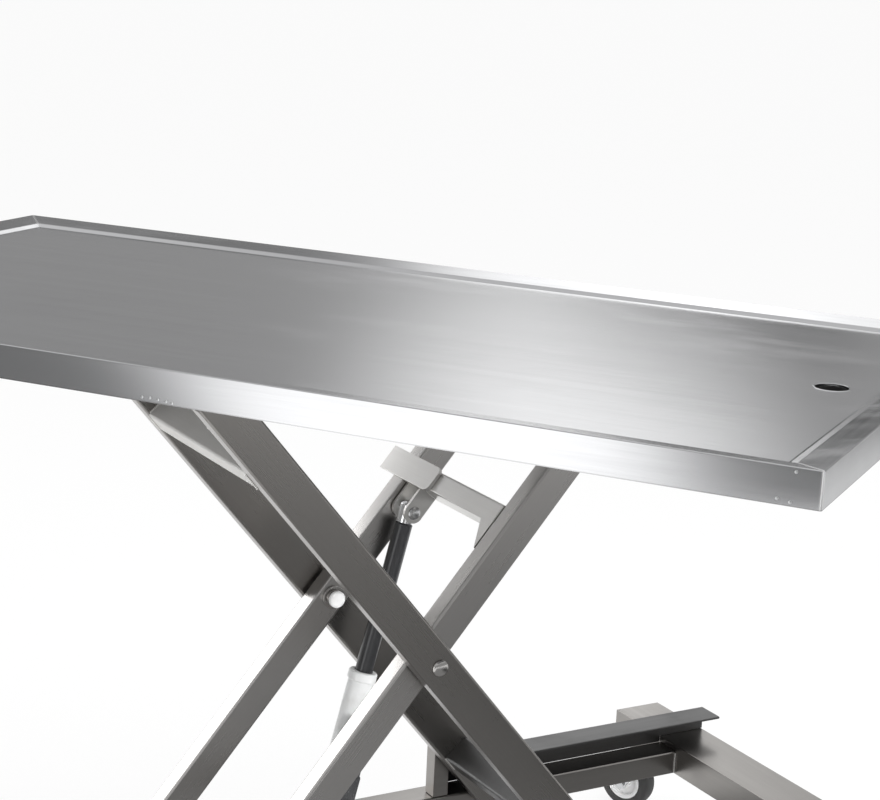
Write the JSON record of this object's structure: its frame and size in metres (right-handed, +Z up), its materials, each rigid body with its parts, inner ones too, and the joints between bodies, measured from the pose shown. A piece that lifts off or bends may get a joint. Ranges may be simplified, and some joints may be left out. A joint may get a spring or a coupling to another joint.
{
  "type": "veterinary exam table",
  "caption": "Height-adjustable veterinary exam table: stainless tray top with a drain on a turntable, carried by an electric scissor lift on a low frame with swivel casters.",
  "frame": {"origin": "on the floor, under the middle of the overall box", "axes": "+Z up, +X along the base rails from the hinge end to the roller end, +Y across the rails towards the actuator side"},
  "size_m": [1.268, 1.3552, 0.764],
  "materials": {
    "tray_steel": "brushed stainless sheet, welded mitred corners",
    "frame_steel": "satin stainless tube with ground welds",
    "track_steel": "dull folded steel",
    "bright_fittings": "bright turned and plated steel",
    "chrome": "polished chrome",
    "rod_black": "semi-gloss black",
    "barrel_white": "satin off-white",
    "motor_black": "black powder coat on a cast case",
    "tyre_rubber": "matte dark rubber",
    "wheel_hub": "satin light grey",
    "roller_nylon": "matte nylon"
  },
  "bodies": {
    "base": {"crossbar_right": "frame_steel", "crossbar_left": "frame_steel", "side_tube_far": "frame_steel", "side_tube_near": "frame_steel", "roller_guide_far": "track_steel", "roller_guide_near": "track_steel", "stop_post_far": "frame_steel", "stop_post_near": "frame_steel", "base_hinge_lug_far": "frame_steel", "base_hinge_lug_near": "frame_steel", "base_hinge_shaft": "bright_fittings", "actuator_cross_tube": "frame_steel", "actuator_foot_bracket": "frame_steel", "actuator_foot_pin": "bright_fittings", "caster_head_right_far": "bright_fittings", "caster_head_right_near": "bright_fittings", "caster_head_left_far": "bright_fittings", "caster_head_left_near": "bright_fittings"},
    "inner_frame": {"inner_arm_far": "frame_steel", "inner_arm_near": "frame_steel", "pivot_pin_far": "bright_fittings", "pivot_pin_near": "bright_fittings", "lift_crossbar": "frame_steel", "clevis_saddle": "frame_steel", "clevis_pin": "bright_fittings"},
    "outer_frame": {"outer_arm_far": "frame_steel", "outer_arm_near": "frame_steel", "outer_upper_cross_tube": "frame_steel", "outer_lower_cross_tube": "frame_steel"},
    "platform": {"platform_rail_far": "track_steel", "platform_rail_near": "track_steel", "platform_hinge_bracket": "track_steel", "platform_hinge_shaft": "bright_fittings", "platform_end_bar": "track_steel", "turntable_lower_ring": "track_steel"},
    "top": {"top_tray": "tray_steel", "top_stiffener_far": "track_steel", "top_stiffener_near": "track_steel", "turntable_upper_ring": "track_steel", "drain_spout": "bright_fittings"},
    "actuator_rod": {"actuator_rod": "rod_black", "actuator_rod_eye": "chrome"},
    "actuator_barrel": {"actuator_barrel": "barrel_white", "actuator_motor": "motor_black"},
    "lower_roller_far": {"lower_roller_far": "roller_nylon"},
    "upper_roller_far": {"upper_roller_far": "roller_nylon"},
    "lower_roller_near": {"lower_roller_near": "roller_nylon"},
    "upper_roller_near": {"upper_roller_near": "roller_nylon"},
    "caster_swivel_right_far": {"caster_fork_right_far": "bright_fittings"},
    "caster_wheel_right_far": {"caster_tyre_right_far": "tyre_rubber", "caster_hub_right_far": "wheel_hub"},
    "caster_swivel_right_near": {"caster_fork_right_near": "bright_fittings"},
    "caster_wheel_right_near": {"caster_tyre_right_near": "tyre_rubber", "caster_hub_right_near": "wheel_hub"},
    "caster_swivel_left_far": {"caster_fork_left_far": "bright_fittings"},
    "caster_wheel_left_far": {"caster_tyre_left_far": "tyre_rubber", "caster_hub_left_far": "wheel_hub"},
    "caster_swivel_left_near": {"caster_fork_left_near": "bright_fittings"},
    "caster_wheel_left_near": {"caster_tyre_left_near": "tyre_rubber", "caster_hub_left_near": "wheel_hub"}
  },
  "joints": [
    {"name": "lift", "type": "hinge", "parent": "base", "child": "inner_frame", "pos_m": [-0.19114, 0, 0.147], "axis": [0, -1, 0], "range_deg": [-30, 2]},
    {"name": "scissor_cross", "type": "hinge", "parent": "inner_frame", "child": "outer_frame", "pos_m": [0.04027, 0, 0.42278], "axis": [0, -1, 0], "range_deg": [-4, 60]},
    {"name": "platform_level", "type": "hinge", "parent": "outer_frame", "child": "platform", "pos_m": [-0.19114, 0, 0.69855], "axis": [0, -1, 0], "range_deg": [-30, 2]},
    {"name": "top_turn", "type": "hinge", "parent": "platform", "child": "top", "pos_m": [-0.02253, 0, 0.73], "axis": [0, 0, 1], "continuous": true},
    {"name": "actuator_swing", "type": "hinge", "parent": "inner_frame", "child": "actuator_rod", "pos_m": [0.12061, 0.077, 0.51853], "axis": [0, -1, 0], "range_deg": [-12, 1]},
    {"name": "actuator_stroke", "type": "slide", "parent": "actuator_rod", "child": "actuator_barrel", "axis": [-0.2522, 0, -0.9677], "range_m": [-0.0915, 0.0065]},
    {"name": "lower_roller_spin_far", "type": "hinge", "parent": "outer_frame", "child": "lower_roller_far", "pos_m": [0.27167, 0.1583, 0.147], "axis": [0, 1, 0], "continuous": true},
    {"name": "upper_roller_spin_far", "type": "hinge", "parent": "inner_frame", "child": "upper_roller_far", "pos_m": [0.27167, 0.0837, 0.69855], "axis": [0, 1, 0], "continuous": true},
    {"name": "lower_roller_spin_near", "type": "hinge", "parent": "outer_frame", "child": "lower_roller_near", "pos_m": [0.27167, -0.1583, 0.147], "axis": [0, 1, 0], "continuous": true},
    {"name": "upper_roller_spin_near", "type": "hinge", "parent": "inner_frame", "child": "upper_roller_near", "pos_m": [0.27167, -0.0837, 0.69855], "axis": [0, 1, 0], "continuous": true},
    {"name": "caster_swivel_right_far", "type": "hinge", "parent": "base", "child": "caster_swivel_right_far", "pos_m": [0.60097, 0.253, 0.088], "axis": [0, 0, 1], "continuous": true},
    {"name": "caster_roll_right_far", "type": "hinge", "parent": "caster_swivel_right_far", "child": "caster_wheel_right_far", "pos_m": [0.59048, 0.27896, 0.0375], "axis": [-0.9272, -0.3746, 0], "continuous": true},
    {"name": "caster_swivel_right_near", "type": "hinge", "parent": "base", "child": "caster_swivel_right_near", "pos_m": [0.60097, -0.253, 0.088], "axis": [0, 0, 1], "continuous": true},
    {"name": "caster_roll_right_near", "type": "hinge", "parent": "caster_swivel_right_near", "child": "caster_wheel_right_near", "pos_m": [0.59048, -0.22704, 0.0375], "axis": [-0.9272, -0.3746, 0], "continuous": true},
    {"name": "caster_swivel_left_far", "type": "hinge", "parent": "base", "child": "caster_swivel_left_far", "pos_m": [-0.28614, 0.253, 0.088], "axis": [0, 0, 1], "continuous": true},
    {"name": "caster_roll_left_far", "type": "hinge", "parent": "caster_swivel_left_far", "child": "caster_wheel_left_far", "pos_m": [-0.29663, 0.27896, 0.0375], "axis": [-0.9272, -0.3746, 0], "continuous": true},
    {"name": "caster_swivel_left_near", "type": "hinge", "parent": "base", "child": "caster_swivel_left_near", "pos_m": [-0.28614, -0.253, 0.088], "axis": [0, 0, 1], "continuous": true},
    {"name": "caster_roll_left_near", "type": "hinge", "parent": "caster_swivel_left_near", "child": "caster_wheel_left_near", "pos_m": [-0.29663, -0.22704, 0.0375], "axis": [-0.9272, -0.3746, 0], "continuous": true}
  ],
  "couplings": [
    {"joint": "scissor_cross", "follows": "lift", "ratio": -2},
    {"joint": "platform_level", "follows": "lift", "ratio": 1},
    {"joint": "actuator_swing", "follows": "lift", "ratio": 0.39388},
    {"joint": "actuator_stroke", "follows": "lift", "m_per_rad": 0.17383}
  ]
}
